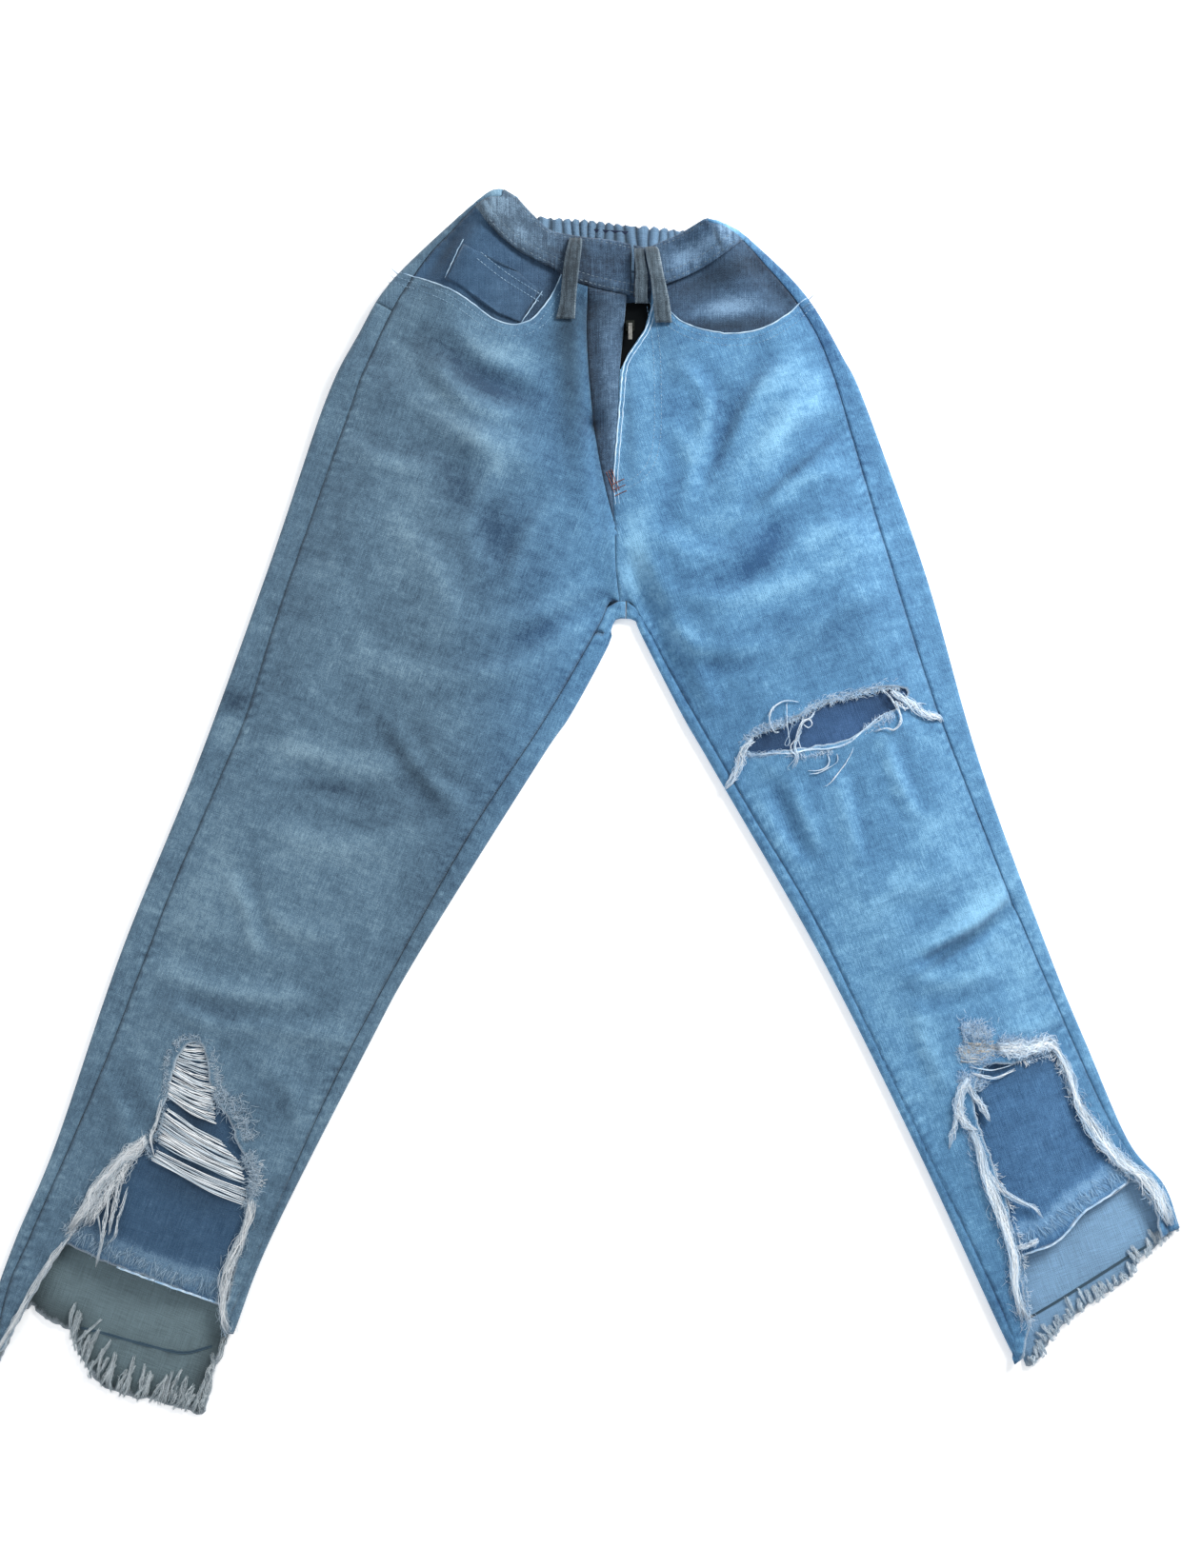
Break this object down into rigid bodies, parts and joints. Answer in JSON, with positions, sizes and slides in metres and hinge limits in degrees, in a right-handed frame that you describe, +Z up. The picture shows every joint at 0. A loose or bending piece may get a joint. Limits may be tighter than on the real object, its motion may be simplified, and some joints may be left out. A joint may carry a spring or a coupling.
{
  "type": "ripped jeans",
  "caption": "High-waisted straight jeans in washed blue denim, laid flat front up, with patched tears at knee and shins and raw frayed hems.",
  "frame": {"origin": "middle of the garment's bounding box, on the surface it lies on", "axes": "+Z up out of the surface it lies on, +Y towards the waist, +X towards the wearer's left leg"},
  "size_m": [0.946, 0.988, 0.0468],
  "materials": {
    "denim": "washed blue twill, faded along seams and folds",
    "denim_inside": "darker unworn twill of the pocket facings",
    "denim_patch": "darker twill behind the tears",
    "zip_tape": "black woven tape",
    "zip_metal": "worn antique metal",
    "label": "plain dark woven label"
  },
  "bodies": {
    "garment": {"back_right": "denim", "back_left": "denim", "yoke_right": "denim", "yoke_left": "denim", "waistband_back": "denim", "back_pocket_right": "denim", "back_pocket_left": "denim", "front_right": "denim", "front_left": "denim", "fly_placket": "denim", "waistband_front_right": "denim", "waistband_front_left": "denim", "pocket_facing_right": "denim_inside", "pocket_facing_left": "denim_inside", "coin_pocket": "denim_inside", "belt_loop_right": "denim", "belt_loop_left": "denim", "belt_loop_left_twist": "denim", "shin_patch_right": "denim_patch", "shin_patch_left": "denim_patch", "knee_patch": "denim_patch", "zip_tape": "zip_tape", "zip_slider": "zip_metal", "inner_label": "label"},
    "pull_tab": {"zip_pull": "zip_metal"}
  },
  "joints": [
    {"name": "pull_tab_hinge", "type": "hinge", "parent": "garment", "child": "pull_tab", "pos_m": [0.037, 0.383, 0.02425], "axis": [-1, 0, 0], "range_deg": [0, 165]}
  ]
}
